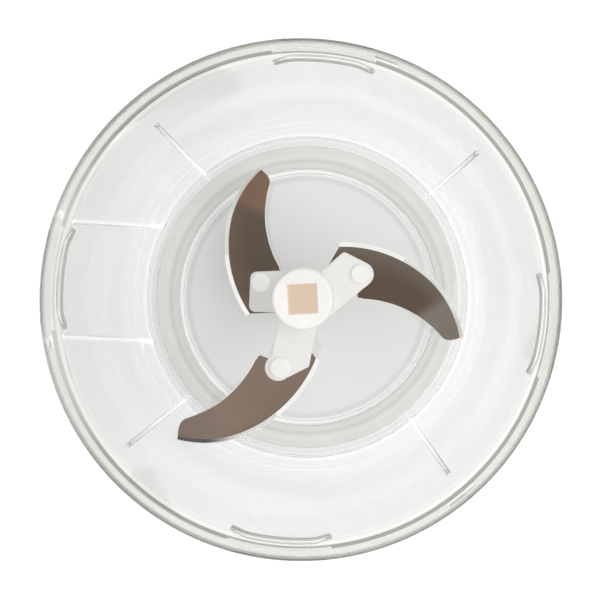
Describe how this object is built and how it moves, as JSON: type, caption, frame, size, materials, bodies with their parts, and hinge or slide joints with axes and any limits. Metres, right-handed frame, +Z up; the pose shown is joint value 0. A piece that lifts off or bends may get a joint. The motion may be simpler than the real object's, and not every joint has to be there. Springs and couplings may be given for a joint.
{
  "type": "manual food processor bowl with blade unit",
  "caption": "Clear round chopper bowl with bayonet lugs, ribs and a soft foot ring, and a lift-out blade unit of serrated sickle blades stacked on a square-drive column.",
  "frame": {"origin": "centre of the bowl's base, on the surface it stands on", "axes": "+Z up along the bowl's axis, which is also the blade unit's turning axis; the grip ribs on the outer wall are towards -X"},
  "size_m": [0.1616, 0.1616, 0.1],
  "materials": {
    "clear_plastic": "clear, polished",
    "translucent_rubber": "soft, milky",
    "white_plastic": "fine satin",
    "cream_plastic": "satin",
    "bush_plastic": "satin",
    "blade_steel": "polished face, ground edge",
    "pin_steel": "ground"
  },
  "bodies": {
    "bowl": {"bowl": "clear_plastic", "pivot_pin": "pin_steel", "non_slip_ring": "translucent_rubber"},
    "bearing": {"pivot_bush": "bush_plastic"},
    "blade_unit": {"drive_core": "cream_plastic", "lower_holder": "white_plastic", "middle_holder": "white_plastic", "upper_holder": "white_plastic", "lower_clamp": "white_plastic", "middle_clamp": "white_plastic", "upper_clamp": "white_plastic", "lower_blade": "blade_steel", "middle_blade": "blade_steel", "upper_blade": "blade_steel"}
  },
  "joints": [
    {"name": "lift_off", "type": "slide", "parent": "bowl", "child": "bearing", "axis": [0, 0, 1], "range_m": [0, 0.1]},
    {"name": "spin", "type": "hinge", "parent": "bearing", "child": "blade_unit", "pos_m": [0, 0, 0.03], "axis": [0, 0, 1], "continuous": true}
  ]
}
